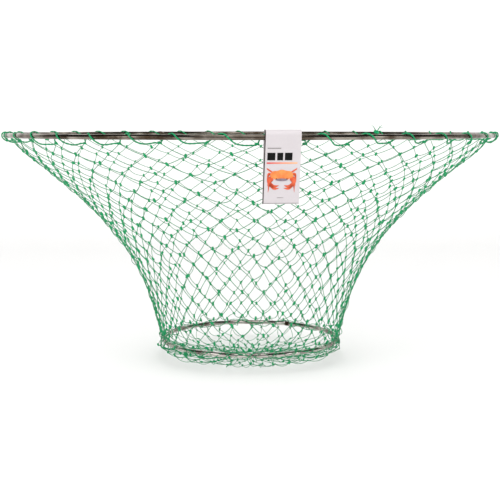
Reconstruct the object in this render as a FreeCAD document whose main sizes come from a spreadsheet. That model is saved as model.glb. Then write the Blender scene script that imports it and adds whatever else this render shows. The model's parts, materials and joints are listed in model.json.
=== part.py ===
import FreeCAD, Part
import math
import os

import Sketcher

# Two-ring crab net. A large steel hoop and a small steel ring hang one above the other, joined by a
# trumpet of knotted netting, with a shallow bag of the same netting under the small ring.
# Millimetres, +Z up. The origin is the centre of the top hoop, and the front of the net is at -Y.

# alias, value, what it is
DIMENSIONS = [
    ("hoop_diameter", 762.0, "top hoop, across the centre of its rod"),
    ("ring_diameter", 279.0, "bottom ring, across the centre of its rod"),
    ("rod_diameter", 7.0, "steel rod of both rings"),
    ("net_height", 328.0, "from the hoop's plane to the ring's plane"),
    ("weld_gap", 3.0, "gap in each rod that its butt weld fills"),
    ("weld_bead", 0.6, "height of the weld above the rod"),
    ("twine_diameter", 1.6, "netting and lacing twine"),
    ("loop_diameter", 9.6, "one turn of lacing round a rod, across its twine's centre"),
    ("loop_lean", 25.0, "degrees that a turn of lacing leans along the rod"),
    ("wall_thickness", 1.6, "net wall, measured level"),
    ("wall_step", 1.1, "how far a band's two edges stand off the true outline"),
    ("wall_toe", 0.36, "how much the wall fills out again above the bottom ring"),
    ("wall_top_gap", 4.5, "from the hoop's plane down to the net wall"),
    ("wall_bottom_gap", 8.0, "from the net wall down to the ring's plane"),
    ("floor_diameter", 264.0, "rim of the floor net"),
    ("floor_depth", 26.0, "how far the floor net sags"),
    ("floor_drop", 1.0, "from the ring's plane down to the floor net's rim"),
    ("gather_diameter", 16.0, "ring of the gathering cord"),
    ("knot_diameter", 6.0, "end knots of the lacings"),
    ("gather_knot_diameter", 7.0, "knot of the gathering cord"),
    ("knot_tail_length", 9.0, "cut ends that stand out of a knot"),
    ("tag_width", 46.0, "card tag, along the hoop"),
    ("tag_drop", 83.0, "from the hoop's plane down to the tag's lower edge"),
    ("tag_shoulder", 2.8, "from the hoop's plane up to the centre of the tag's fold"),
    ("tag_half_gap", 6.2, "from the tag's middle to the inside of a leaf, at the fold"),
    ("tag_foot_gap", 0.4, "from the tag's middle to the inside of a leaf, at the foot"),
    ("card_thickness", 0.5, "card of the tag"),
    ("tag_angle", 6.1, "degrees from the front of the hoop to the tag, to the right"),
    ("tag_slot_width", 52.0, "open mesh that the tag's back leaf passes through"),
    ("tag_slot_depth", 26.0, "how far in from the hoop that mesh is open"),
]
LACING_TURNS = 40  # meshes of the net round each ring, so turns of each lacing
LAST_BAND = 6  # the wall is a half band, five whole bands and another half band
TOP_WELD_ANGLE = 116.9  # degrees round from +X, between two turns of lacing
BOTTOM_WELD_ANGLE = 62.9
TOP_KNOT_ANGLE = -65.0
BOTTOM_KNOT_ANGLE = -135.1
FIRST_TURN_ANGLE = -85.6  # a turn of lacing lies under the tag's fold
KNOT_SINK = 0.15  # clearance between a knot and the rod it sits on
TAIL_SPREAD = 35.0  # degrees that each cut end leans from upright

doc = FreeCAD.newDocument("crab_net")
sheet = doc.addObject("Spreadsheet::Sheet", "dims")
for row, (alias, value, meaning) in enumerate(DIMENSIONS, start=1):
    sheet.set(f"A{row}", meaning)
    sheet.set(f"B{row}", str(value))
    sheet.setAlias(f"B{row}", alias)
doc.recompute()
size = {alias: float(sheet.get(alias)) for alias, _, _ in DIMENSIONS}

RING_HEIGHT = "-dims.net_height"
sub_parts = []


def bind(obj, **expressions):
    """Ties the object's sizes to the sheet, with __ standing for the dots in a property's path."""
    for name, expression in expressions.items():
        obj.setExpression(name.replace("__", "."), expression)


def sub_part(obj, label):
    """Names a finished piece and puts it on the list of those that are written out."""
    obj.Label = label
    sub_parts.append(obj)
    return obj


def about_z(angle):
    return FreeCAD.Rotation(FreeCAD.Vector(0, 0, 1), angle)


# ---- steel rings --------------------------------------------------------------------------------


def rod_ring(label, diameter, height, weld_angle):
    """A rod bent to a circle, open by the width of its weld, and the barrel-shaped weld in the gap."""
    gap = f"dims.weld_gap / ({diameter} / 2) * 180 / pi"
    turn = 360 - math.degrees(size["weld_gap"] / (size[diameter.split(".")[1]] / 2))

    rod = doc.addObject("Part::Torus", label)
    rod.Placement.Rotation = about_z(weld_angle)
    bind(rod, Radius1=f"{diameter} / 2", Radius2="dims.rod_diameter / 2", Angle3=f"360 - {gap}")
    bind(rod, Placement__Base__z=height)
    sub_part(rod, label)

    weld = doc.addObject("Part::Torus", label + "_weld")
    weld.Placement.Rotation = about_z(weld_angle + turn)
    bind(weld, Radius1=f"{diameter} / 2", Radius2="dims.rod_diameter / 2 + dims.weld_bead", Angle3=gap)
    bind(weld, Placement__Base__z=height)
    sub_part(weld, label + "_weld")


rod_ring("top_hoop", "dims.hoop_diameter", "0", TOP_WELD_ANGLE)
rod_ring("bottom_ring", "dims.ring_diameter", RING_HEIGHT, BOTTOM_WELD_ANGLE)


# ---- lacings ------------------------------------------------------------------------------------


def lacing(label, ring_diameter, height):
    """Turns of twine round a rod, evenly spaced, each leaning along the rod as a running turn does."""
    turns = []
    for number in range(LACING_TURNS):
        angle = FIRST_TURN_ANGLE + number * 360 / LACING_TURNS
        loop = doc.addObject("Part::Torus", f"{label}_turn_{number}")
        bind(loop, Radius1="dims.loop_diameter / 2", Radius2="dims.twine_diameter / 2")
        upright = FreeCAD.Rotation(FreeCAD.Vector(1, 0, 0), 90)
        lean = FreeCAD.Rotation(FreeCAD.Vector(1, 0, 0), size["loop_lean"])
        loop.Placement.Rotation = about_z(angle) * lean * upright
        bind(
            loop,
            Placement__Base__x=f"{ring_diameter} / 2 * cos({angle} deg)",
            Placement__Base__y=f"{ring_diameter} / 2 * sin({angle} deg)",
            Placement__Base__z=height,
        )
        turns.append(loop)
    group = doc.addObject("Part::Compound", label)
    group.Links = turns
    sub_part(group, label)


def end_knot(label, ring_diameter, height, angle, side):
    """A knot above (side 1) or below (side -1) a rod, with the two cut ends of its twine."""
    ball = doc.addObject("Part::Sphere", label + "_ball")
    bind(ball, Radius="dims.knot_diameter / 2")
    tails = []
    upright = 0 if side > 0 else 180
    for name, lean in (("left", TAIL_SPREAD), ("right", -TAIL_SPREAD)):
        tail = doc.addObject("Part::Cylinder", f"{label}_{name}_tail")
        bind(tail, Radius="dims.twine_diameter / 2", Height="dims.knot_tail_length")
        tail.Placement.Rotation = FreeCAD.Rotation(FreeCAD.Vector(1, 0, 0), upright + lean)
        tails.append(tail)
    knot = doc.addObject("Part::MultiFuse", label)
    knot.Shapes = [ball] + tails
    knot.Placement.Rotation = about_z(angle)
    lift = f"dims.rod_diameter / 2 + dims.knot_diameter / 2 + {KNOT_SINK}"
    bind(
        knot,
        Placement__Base__x=f"{ring_diameter} / 2 * cos({angle} deg)",
        Placement__Base__y=f"{ring_diameter} / 2 * sin({angle} deg)",
        Placement__Base__z=f"{height} + {side} * ({lift})",
    )
    sub_part(knot, label)


lacing("top_lacing", "dims.hoop_diameter", "0")
lacing("bottom_lacing", "dims.ring_diameter", RING_HEIGHT)
end_knot("top_lacing_knot", "dims.hoop_diameter", "0", TOP_KNOT_ANGLE, 1)
end_knot("bottom_lacing_knot", "dims.ring_diameter", RING_HEIGHT, BOTTOM_KNOT_ANGLE, -1)


# ---- net wall -----------------------------------------------------------------------------------


def wall_radius(depth):
    """The outline of the hanging net: a parabola that flares to the hoop, filled out near the ring."""
    down = f"(({depth}) / dims.net_height)"
    up = f"(1 - {down})"
    flare = f"({up} ^ 2 + dims.wall_toe * {down} ^ 4 * {up})"
    return f"dims.ring_diameter / 2 + (dims.hoop_diameter - dims.ring_diameter) / 2 * {flare}"


def wall_band(number):
    """One band of the wall. Its edges step in and out, so that it can rise inside the band above."""
    top = f"dims.net_height * {2 * number - 1} / {2 * LAST_BAND}" if number else "dims.wall_top_gap"
    bottom = f"dims.net_height * {2 * number + 1} / {2 * LAST_BAND}"
    if number == LAST_BAND:
        bottom = "dims.net_height - dims.wall_bottom_gap"
    label = f"net_wall_{number + 1}"
    cones = []
    for name, inset in (("outside", "0"), ("inside", "dims.wall_thickness")):
        cone = doc.addObject("Part::Cone", f"{label}_{name}")
        bind(
            cone,
            Radius1=f"{wall_radius(bottom)} + dims.wall_step - {inset}",
            Radius2=f"{wall_radius(top)} - dims.wall_step - {inset}",
            Height=f"{bottom} - {top}",
            Placement__Base__z=f"-({bottom})",
        )
        cones.append(cone)
    shell = doc.addObject("Part::Cut", label + "_shell" if number == 0 else label)
    shell.Base, shell.Tool = cones
    return shell


def open_tag_mesh(shell):
    """Opens the mesh of the first band that the tag's back leaf passes through."""
    slot = doc.addObject("Part::Box", "tag_mesh_opening")
    bind(slot, Length="dims.tag_slot_width", Width="dims.tag_slot_depth * 2", Height="dims.tag_drop")
    turned = about_z(size["tag_angle"])
    corner = FreeCAD.Vector(-size["tag_slot_width"] / 2, -size["tag_slot_depth"], 0)
    hinge = FreeCAD.Vector(0, -size["hoop_diameter"] / 2, -size["tag_drop"])
    slot.Placement = FreeCAD.Placement(turned.multVec(hinge + corner), turned)
    opened = doc.addObject("Part::Cut", "net_wall_1")
    opened.Base, opened.Tool = shell, slot
    return opened


sub_part(open_tag_mesh(wall_band(0)), "net_wall_1")
for number in range(1, LAST_BAND + 1):
    sub_part(wall_band(number), f"net_wall_{number + 1}")


# ---- floor net ----------------------------------------------------------------------------------


def floor_bowl(name, inset):
    """The lower half of a flattened ball."""
    bowl = doc.addObject("Part::Ellipsoid", name)
    bowl.Angle1 = -90
    bowl.Angle2 = 0
    bind(
        bowl,
        Radius1=f"dims.floor_depth - {inset}",
        Radius2=f"dims.floor_diameter / 2 - {inset}",
        Radius3=f"dims.floor_diameter / 2 - {inset}",
        Placement__Base__z=f"{RING_HEIGHT} - dims.floor_drop",
    )
    return bowl


floor_net = doc.addObject("Part::Cut", "floor_net")
floor_net.Base = floor_bowl("floor_outside", "0")
floor_net.Tool = floor_bowl("floor_inside", "dims.wall_thickness")
sub_part(floor_net, "floor_net")

FLOOR_TOP = f"{RING_HEIGHT} - dims.floor_drop - dims.floor_depth + dims.wall_thickness"
gather_cord = doc.addObject("Part::Torus", "floor_gather_cord")
bind(
    gather_cord,
    Radius1="dims.gather_diameter / 2",
    Radius2="dims.twine_diameter / 2",
    Placement__Base__z=f"{FLOOR_TOP} + dims.twine_diameter / 2 + {2 * KNOT_SINK}",
)
sub_part(gather_cord, "floor_gather_cord")
gather_knot = doc.addObject("Part::Sphere", "floor_gather_knot")
bind(
    gather_knot,
    Radius="dims.gather_knot_diameter / 2",
    Placement__Base__z=f"{FLOOR_TOP} + dims.gather_knot_diameter / 2 + {2 * KNOT_SINK}",
)
sub_part(gather_knot, "floor_gather_knot")


# ---- hang tag -----------------------------------------------------------------------------------


def folded_outline(sketch, inset):
    """One face of the folded card: two leaves that hang from a round fold and meet at the foot."""
    wide = "(dims.tag_half_gap + dims.card_thickness - " + inset + ")"
    narrow = "(dims.tag_foot_gap + dims.card_thickness - " + inset + ")"
    drop = "(dims.tag_drop - " + inset + ")"
    corners = [
        (wide, "dims.tag_shoulder"),
        (narrow, "-" + drop),
        ("-" + narrow, "-" + drop),
        ("-" + wide, "dims.tag_shoulder"),
    ]
    places = [FreeCAD.Vector(sheet_value(across), sheet_value(up), 0) for across, up in corners]
    crown = FreeCAD.Vector(0, places[0].y + places[0].x, 0)
    first = sketch.GeometryCount
    for begin, end in zip(places, places[1:]):
        sketch.addGeometry(Part.LineSegment(begin, end), False)
    sketch.addGeometry(Part.Arc(places[0], crown, places[3]), False)

    right, sole, left, fold = range(first, first + 4)
    begin, end, centre = 1, 2, 3
    for pair in ((right, end, sole, begin), (sole, end, left, begin), (fold, begin, right, begin),
                 (fold, end, left, end)):
        sketch.addConstraint(Sketcher.Constraint("Coincident", *pair))
    corner_points = [(right, begin), (sole, begin), (sole, end), (left, end)]
    for (line, point), (across, up) in zip(corner_points, corners):
        pin_to(sketch, "DistanceX", line, point, across)
        pin_to(sketch, "DistanceY", line, point, up)
    pin_to(sketch, "DistanceY", fold, centre, "dims.tag_shoulder")


def sheet_value(expression):
    """The number that an expression on the sheet stands for."""
    return float(sheet.evalExpression(expression.replace("dims.", "")))


def pin_to(sketch, kind, line, point, expression):
    """Holds a point of the sketch at a distance from its origin that the sheet gives."""
    constraint = Sketcher.Constraint(kind, -1, 1, line, point, sheet_value(expression))
    number = sketch.addConstraint(constraint)
    sketch.setExpression(f"Constraints[{number}]", expression)


tag = doc.addObject("PartDesign::Body", "hang_tag")
outline = tag.newObject("Sketcher::SketchObject", "tag_outline")
across_plane = [plane for plane in tag.Origin.OriginFeatures if plane.Role == "YZ_Plane"]
outline.AttachmentSupport = [(across_plane[0], "")]
outline.MapMode = "FlatFace"
folded_outline(outline, "0")
folded_outline(outline, "dims.card_thickness")
leaves = tag.newObject("PartDesign::Pad", "tag_leaves")
leaves.Profile = outline
leaves.SideType = "Symmetric"
bind(leaves, Length="dims.tag_width")
tag.Placement.Rotation = about_z(size["tag_angle"])
bind(
    tag,
    Placement__Base__x="dims.hoop_diameter / 2 * sin(dims.tag_angle * 1 deg)",
    Placement__Base__y="-dims.hoop_diameter / 2 * cos(dims.tag_angle * 1 deg)",
)
sub_part(tag, "hang_tag")


# ---- check and write ----------------------------------------------------------------------------

doc.recompute()
for obj in doc.Objects:
    if "Invalid" in obj.State or "Error" in obj.State:
        raise SystemExit(f"{obj.Label} did not compute: {obj.State}")

os.makedirs("parts", exist_ok=True)
for piece in sub_parts:
    if piece.Shape.isNull() or not piece.Shape.isValid():
        raise SystemExit(f"{piece.Label} has no valid shape")
    piece.Shape.exportStep(f"parts/{piece.Label}.step")
    box = piece.Shape.BoundBox
    print(
        f"{piece.Label}: {len(piece.Shape.Solids)} solids, {piece.Shape.Volume:.0f} mm3,"
        f" x {box.XMin:.1f}..{box.XMax:.1f}, y {box.YMin:.1f}..{box.YMax:.1f},"
        f" z {box.ZMin:.1f}..{box.ZMax:.1f}"
    )
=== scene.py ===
# %% [markdown]
# # A two-ring crab net
# A crab net is two steel rings with a knotted net between them. Lowered to the sea bed, the net lies
# flat with the bait in the middle. When the line is pulled, the big hoop comes up first and the net
# becomes a basket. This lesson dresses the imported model: it keeps every place and size from it, and
# makes the twine, the knots, the steel and the card tag that the plain solids stand for.

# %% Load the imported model
import json
import math

import bpy
import numpy as np
from mathutils import Euler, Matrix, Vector

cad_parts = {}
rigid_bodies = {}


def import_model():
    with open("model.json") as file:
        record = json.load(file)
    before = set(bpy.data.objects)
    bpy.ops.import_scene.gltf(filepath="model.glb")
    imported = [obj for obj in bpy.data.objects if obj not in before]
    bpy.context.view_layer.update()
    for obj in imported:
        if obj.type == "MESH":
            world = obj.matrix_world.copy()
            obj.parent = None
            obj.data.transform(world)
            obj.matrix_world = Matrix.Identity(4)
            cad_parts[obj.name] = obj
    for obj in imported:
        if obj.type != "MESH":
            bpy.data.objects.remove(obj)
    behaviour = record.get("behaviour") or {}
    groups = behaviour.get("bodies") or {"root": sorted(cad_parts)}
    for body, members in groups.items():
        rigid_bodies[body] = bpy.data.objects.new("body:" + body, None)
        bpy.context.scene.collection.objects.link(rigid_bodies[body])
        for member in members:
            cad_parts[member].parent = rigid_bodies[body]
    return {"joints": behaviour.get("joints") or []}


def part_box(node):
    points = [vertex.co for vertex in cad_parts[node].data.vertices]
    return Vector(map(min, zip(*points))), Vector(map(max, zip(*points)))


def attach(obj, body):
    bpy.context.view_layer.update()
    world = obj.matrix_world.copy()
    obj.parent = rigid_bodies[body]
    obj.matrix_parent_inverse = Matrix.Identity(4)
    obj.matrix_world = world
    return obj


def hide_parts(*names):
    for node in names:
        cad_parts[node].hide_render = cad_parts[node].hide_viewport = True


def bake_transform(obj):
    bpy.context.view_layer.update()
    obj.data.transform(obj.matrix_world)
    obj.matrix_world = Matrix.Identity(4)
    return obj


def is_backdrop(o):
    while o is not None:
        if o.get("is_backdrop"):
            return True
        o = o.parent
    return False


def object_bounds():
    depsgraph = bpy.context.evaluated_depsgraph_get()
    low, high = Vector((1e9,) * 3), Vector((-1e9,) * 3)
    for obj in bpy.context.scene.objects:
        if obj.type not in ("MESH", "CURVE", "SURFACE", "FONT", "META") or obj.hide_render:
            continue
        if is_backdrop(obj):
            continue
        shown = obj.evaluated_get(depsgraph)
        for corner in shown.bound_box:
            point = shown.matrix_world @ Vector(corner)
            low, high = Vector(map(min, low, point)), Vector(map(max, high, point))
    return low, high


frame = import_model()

cad_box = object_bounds()
scene = bpy.context.scene

# %% [markdown]
# ## Sizes
# Everything hangs from a few sizes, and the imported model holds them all: the rods' thickness and
# radii, the height between the rings, the floor net's depth, and the joints that fold the wall.

# %% Read the sizes
hoop_low, hoop_high = (Vector(corner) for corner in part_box("top_hoop"))
ring_low, ring_high = (Vector(corner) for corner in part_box("bottom_ring"))
floor_low, floor_high = (Vector(corner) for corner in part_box("floor_net"))

ROD = (hoop_high.z - hoop_low.z) / 2
HOOP_R = (hoop_high.x - hoop_low.x) / 2 - ROD
RING_R = (ring_high.x - ring_low.x) / 2 - ROD
HOOP_Z = (hoop_high.z + hoop_low.z) / 2
RING_Z = (ring_high.z + ring_low.z) / 2
NET_HEIGHT = HOOP_Z - RING_Z
FLOOR_R = (floor_high.x - floor_low.x) / 2
FLOOR_DEPTH = floor_high.z - floor_low.z
FLOOR_Z = floor_high.z

chain = ["hoop"]
for joint in frame["joints"]:
    if joint["type"] == "slide" and joint["parent"] == chain[-1]:
        chain.append(joint["child"])
ZONES = len(chain) - 1
tag_hinge = next(joint for joint in frame["joints"] if joint["type"] == "hinge")
TAG_TURN = math.atan2(tag_hinge["pos_m"][0], -tag_hinge["pos_m"][1])

print(f"hoop {2000 * HOOP_R:.0f} mm, ring {2000 * RING_R:.0f} mm, rod {2000 * ROD:.1f} mm across")
print(f"net {1000 * NET_HEIGHT:.0f} mm high in {ZONES} folding zones")
print(f"floor net {1000 * FLOOR_DEPTH:.0f} mm deep")

# %% [markdown]
# ## Camera
# The net is seen from the front, at eye level with the big hoop, so that the hoop is nearly a line
# and the view looks down onto the floor net. A longish lens keeps both rings round.

# %% Place the camera
CAMERA_LENS = 77.2
CAMERA_DISTANCE = 1.718
CAMERA_LIFT = 0.014
CAMERA_PITCH = math.radians(6.6)
camera_data = bpy.data.cameras.new("camera")
camera_data.lens = CAMERA_LENS
camera = bpy.data.objects.new("camera", camera_data)
scene.collection.objects.link(camera)
camera.location = (0.0, -CAMERA_DISTANCE, CAMERA_LIFT)
camera.rotation_euler = (math.pi / 2 - CAMERA_PITCH, 0, 0)
scene.camera = camera
scene.view_settings.view_transform = "Standard"
print("camera at", tuple(round(x, 3) for x in camera.location))

# %% [markdown]
# ## Shader maths as plain expressions
# A material here is a few lines of arithmetic. `Value` wraps a number socket, and adding or
# multiplying two of them adds a Math node behind the scenes. `Finish` holds one material: `node`
# adds any other node, with its settings first and then the values or links of its sockets.


# %% The two helper classes
class Value:
    """A number that comes out of a shader node."""

    def __init__(self, finish, socket):
        self.finish = finish
        self.socket = socket

    def _math(self, operation, first, second=0.0):
        made = self.finish.node("ShaderNodeMath", {"operation": operation}, {0: first, 1: second})
        return Value(self.finish, made.outputs[0])

    def __add__(self, other):
        return self._math("ADD", self, other)

    def __mul__(self, other):
        return self._math("MULTIPLY", self, other)

    __radd__ = __add__
    __rmul__ = __mul__

    def sine(self):
        return self._math("SINE", self)

    def above(self, level, soft=0.001):
        """0 below the level and 1 above it, with a soft edge."""
        ramp = self.finish.node(
            "ShaderNodeMapRange",
            {"interpolation_type": "SMOOTHSTEP"},
            {"Value": self, "From Min": level - soft, "From Max": level + soft},
        )
        return Value(self.finish, ramp.outputs["Result"])


class Finish:
    """One material, made of nodes."""

    def __init__(self, name):
        self.material = bpy.data.materials.new(name)
        self.material.use_nodes = True
        self.nodes = self.material.node_tree.nodes
        self.links = self.material.node_tree.links
        self.shader = self.nodes["Principled BSDF"]

    def put(self, socket, value):
        """Gives a socket a value, or links it to one."""
        if isinstance(value, Value):
            value = value.socket
        if isinstance(value, bpy.types.NodeSocket):
            self.links.new(value, socket)
        else:
            socket.default_value = value

    def node(self, kind, settings=None, values=None):
        """Adds any node: its settings first, then a value or a link for each socket."""
        made = self.nodes.new(kind)
        for name, value in (settings or {}).items():
            setattr(made, name, value)
        for name, value in (values or {}).items():
            self.put(made.inputs[name], value)
        return made

    def surface(self, **values):
        """Sets the shader's own sockets, named with _ for a space."""
        for name, value in values.items():
            self.put(self.shader.inputs[name.replace("_", " ")], value)

    def place(self):
        """Object coordinates, in metres."""
        return self.node("ShaderNodeTexCoord").outputs["Object"]

    def uv(self):
        """The piece's own UV map, as two numbers."""
        uv_map = self.node("ShaderNodeUVMap").outputs[0]
        split = self.node("ShaderNodeSeparateXYZ", values={0: uv_map})
        return Value(self, split.outputs["X"]), Value(self, split.outputs["Y"])

    def noise(self, scale, detail=3.0, where=None):
        """Soft noise from 0 to 1, with the scale in bumps per metre."""
        values = {"Vector": where or self.place(), "Scale": scale, "Detail": detail}
        return Value(self, self.node("ShaderNodeTexNoise", values=values).outputs["Fac"])

    def blend(self, amount, first, second):
        """A colour between two colours."""
        made = self.node("ShaderNodeMix", {"data_type": "RGBA"}, {"Factor": amount})
        self.put(made.inputs[6], first)
        self.put(made.inputs[7], second)
        return made.outputs[2]

    def bump(self, height, strength, depth):
        """Turns a height from 0 to 1 into a normal, with the depth in metres."""
        values = {"Height": height, "Strength": strength, "Distance": depth}
        self.surface(Normal=self.node("ShaderNodeBump", values=values).outputs["Normal"])


def colour(red, green, blue):
    """A colour from the 0 to 255 scale of a paint chart, as linear light."""
    shares = [part / 255 for part in (red, green, blue)]
    linear = [((x + 0.055) / 1.055) ** 2.4 if x > 10 / 255 else x / 12.92 for x in shares]
    return (*linear, 1.0)


print("shader helpers ready")

# %% [markdown]
# ## Twine finish
# The net is twisted polyethylene: glossy green plastic threads. The threads show as fine slanting
# grooves, and painted shade darkens the colour in each groove. The colour drifts a little from thread
# to thread, and it is paler where the sun has been.


# %% Twine materials
THREAD_LENGTH = 0.0045
THREADS_AROUND = 3


def twine_finish(name, deep, bright):
    """Green plastic twine, whose strands say how far along (in metres) and round each point is."""
    finish = Finish(name)
    along, around = (
        Value(finish, finish.node("ShaderNodeAttribute", {"attribute_name": label}).outputs["Fac"])
        for label in ("along", "around")
    )
    waves = along * (2 * math.pi / THREAD_LENGTH) + around * (2 * math.pi * THREADS_AROUND)
    thread_rise_and_groove_shade = waves.sine() * 0.5 + 0.5
    drift = finish.noise(18.0, 2.0)
    speckle = finish.noise(900.0, 2.0)
    # The thread wave also darkens the colour in each groove: painted shade between the threads.
    shade = thread_rise_and_groove_shade * 0.35 + drift * 0.45 + speckle * 0.2
    finish.surface(
        Base_Color=finish.blend(shade, deep, bright),
        Roughness=speckle * 0.25 + 0.32,
        Specular_IOR_Level=0.28,
    )
    finish.bump(thread_rise_and_groove_shade, 0.6, 0.0002)
    return finish.material


net_twine = twine_finish("green net twine", colour(20, 114, 70), colour(66, 166, 114))
knot_twine = twine_finish("green knot twine", colour(0, 120, 66), colour(12, 166, 104))
lacing_twine = twine_finish("green lacing twine", colour(0, 114, 64), colour(20, 168, 108))
print("twine finishes:", net_twine.name, knot_twine.name, lacing_twine.name)

# %% [markdown]
# ## Steel finish
# The rings are drawn steel rod with a thin bright plating, which has gone dull and brown in patches,
# more on the hoop than on the ring. The hoop is also coloured darker and the ring paler: painted
# reflection, because the ring is seen from above and mirrors the lights while the hoop is seen edge on.
# Drawing leaves fine lines along the rod, so the pattern uses the rod's own UV map: one direction runs
# along it and the other goes round it.


# %% Steel material
def steel_finish(name, pale, stained, stain_level):
    """Plated steel, stained wherever a soft cloud is above the level."""
    finish = Finish(name)
    along, around = finish.uv()
    cloud = finish.noise(34.0, 4.0)
    lines_at = finish.node(
        "ShaderNodeCombineXYZ", values={"X": along * 4.0, "Y": around * 900.0, "Z": 0.0}
    ).outputs[0]
    lines = finish.noise(1.0, 3.0, where=lines_at)
    pits = finish.noise(1400.0, 2.0)
    stain = (cloud * 0.8 + lines * 0.2).above(stain_level, 0.14)
    finish.surface(
        Base_Color=finish.blend(stain, pale, stained),
        Metallic=1.0,
        Roughness=lines * 0.08 + stain * 0.16 + 0.06,
    )
    finish.bump(lines * 0.7 + pits * 0.3, 0.10, 0.00015)
    return finish.material


# One steel in two tones: darker on the hoop and paler on the ring, as painted reflection.
hoop_steel_painted_darker = steel_finish("plated steel hoop", colour(154, 146, 136), colour(70, 57, 45), 0.49)
ring_steel_painted_paler = steel_finish("plated steel ring", colour(204, 198, 193), colour(116, 105, 96), 0.56)
weld_steel = steel_finish("weld bead steel", colour(104, 92, 80), colour(60, 46, 36), 0.42)
print("steel finishes:", hoop_steel_painted_darker.name, ring_steel_painted_paler.name, weld_steel.name)

# %% [markdown]
# ## Shared mesh helpers
# A grid mesh is rows of points, joined row to row: rods, welds and the card are all grids with a UV
# map. `finished` makes a mesh a piece: it names it, puts it in the scene and smooths it.


# %% Mesh helpers
def finished(name, mesh, material=None, smooth=True):
    """A piece at the origin, with its place in its mesh."""
    piece = bpy.data.objects.new(name, mesh)
    scene.collection.objects.link(piece)
    if material:
        mesh.materials.clear()
        mesh.materials.append(material)
    if smooth:
        mesh.shade_smooth()
    return piece


def grid_mesh(name, points, uv, close_rows=False, close_columns=False, caps=False):
    """Rows of points joined into a mesh, with a UV map. Caps close the first and the last row."""
    rows, columns = points.shape[:2]
    faces, face_uv = [], []
    for row in range(rows if close_rows else rows - 1):
        for column in range(columns if close_columns else columns - 1):
            corners = [(row, column), (row + 1, column), (row + 1, column + 1), (row, column + 1)]
            faces.append([(r % rows) * columns + c % columns for r, c in corners])
            face_uv.extend(uv(r, c) for r, c in corners)
    if caps:
        for row, order in ((0, range(columns)), (rows - 1, reversed(range(columns)))):
            order = list(order)
            faces.append([row * columns + c for c in order])
            face_uv.extend(uv(row, c) for c in order)
    mesh = bpy.data.meshes.new(name)
    mesh.from_pydata(points.reshape(-1, 3).tolist(), [], faces)
    layer = mesh.uv_layers.new(name="UVMap")
    layer.data.foreach_set("uv", np.array(face_uv, dtype=np.float32).reshape(-1))
    return mesh


def triangles(piece):
    return sum(len(face.vertices) - 2 for face in piece.data.polygons)


print("mesh helpers ready")

# %% [markdown]
# ## The two steel rings
# Each ring is one rod, rolled to a circle and butt welded. A rolled rod is never a perfect circle, so
# the radius wanders by a few tenths of a millimetre. The weld is its own piece: a short bead that
# stands proud of the rod, with the ripples that the welder's steps leave.


# %% Rods and welds
BAR_SIDES = 28
ROD_STEP = 0.006
WELD_GAP = 0.0028
WELD_LENGTH = 0.0084
WELD_ROWS = 25
WELD_SWELL = 0.0007
WELD_SEAT = 0.0002
WELD_TIP = 0.0006


def bent_bar(name, middle_r, middle_z, turn, radius, along, steel):
    """A round bar that is bent along a circle, with closed ends. Each row has its own radii."""
    section = np.linspace(0, 2 * math.pi, BAR_SIDES, endpoint=False)
    turn = turn[:, None]
    reach = middle_r[:, None] + radius * np.cos(section)
    height = middle_z + radius * np.sin(section)
    points = np.stack([reach * np.cos(turn), reach * np.sin(turn), height], axis=2)
    mesh = grid_mesh(
        name, points, lambda r, c: (along[r], ROD * 2 * math.pi * c / BAR_SIDES),
        close_columns=True, caps=True,
    )
    return finished(name, mesh, steel)


def rod_piece(name, centre_r, centre_z, weld_node, steel):
    """A rod from one side of its weld right round to the other."""
    weld_low, weld_high = (Vector(corner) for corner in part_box(weld_node))
    weld_at = math.atan2(weld_low.y + weld_high.y, weld_low.x + weld_high.x)
    half_gap = WELD_GAP / 2 / centre_r
    steps = int(centre_r * 2 * math.pi / ROD_STEP)
    turn = np.linspace(weld_at + half_gap, weld_at + 2 * math.pi - half_gap, steps)
    wander = 0.0003 * np.sin(3 * turn + 0.7) + 0.0002 * np.sin(7 * turn)
    radius = np.full((steps, 1), ROD)
    return bent_bar(name, centre_r + wander, centre_z, turn, radius, centre_r * turn, steel), weld_at


def weld_piece(name, centre_r, centre_z, weld_at):
    """A barrel-shaped bead with ripples. It covers the gap, and its ends close inside the rod."""
    across = np.linspace(-1, 1, WELD_ROWS)
    section = np.linspace(0, 2 * math.pi, BAR_SIDES, endpoint=False)
    swell = ROD + WELD_SWELL * np.sqrt(np.clip(1 - across**2, 0, 1)) - WELD_SEAT
    ripple = 0.00016 * np.sin(across * 17)[:, None] * (1 + 0.4 * np.sin(3 * section))
    lump = 0.00014 * np.sin(5 * section + 1.2) * (1 - across**2)[:, None]
    radius = swell[:, None] + ripple + lump
    radius[[0, -1]] = WELD_TIP
    along = WELD_LENGTH / 2 * across
    middle_r = np.full(WELD_ROWS, centre_r)
    return bent_bar(name, middle_r, centre_z, weld_at + along / centre_r, radius, along, weld_steel)


for rod_name, body, centre_r, centre_z, steel in (
    ("top_hoop", "hoop", HOOP_R, HOOP_Z, hoop_steel_painted_darker),
    ("bottom_ring", "ring", RING_R, RING_Z, ring_steel_painted_paler),
):
    rod, weld_at = rod_piece(rod_name + "_rod", centre_r, centre_z, rod_name + "_weld", steel)
    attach(rod, body)
    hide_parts(rod_name)
    bead = weld_piece(rod_name + "_weld_bead", centre_r, centre_z, weld_at)
    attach(bead, body)
    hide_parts(rod_name + "_weld")
    print(f"{rod.name}: {triangles(rod)} triangles, weld at {math.degrees(weld_at):.0f} degrees")

# %% [markdown]
# ## From a centre line to twisted twine
# Every strand of the net is the same thing: a centre line with a small flattened section swept along
# it. So one Geometry Nodes tree makes them all. It evens out the points of each line, turns the section
# a little more at each point, which is what twists the twine, and sweeps it. It also stores how far
# along and how far round each point is, for the material's slanting threads.


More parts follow.
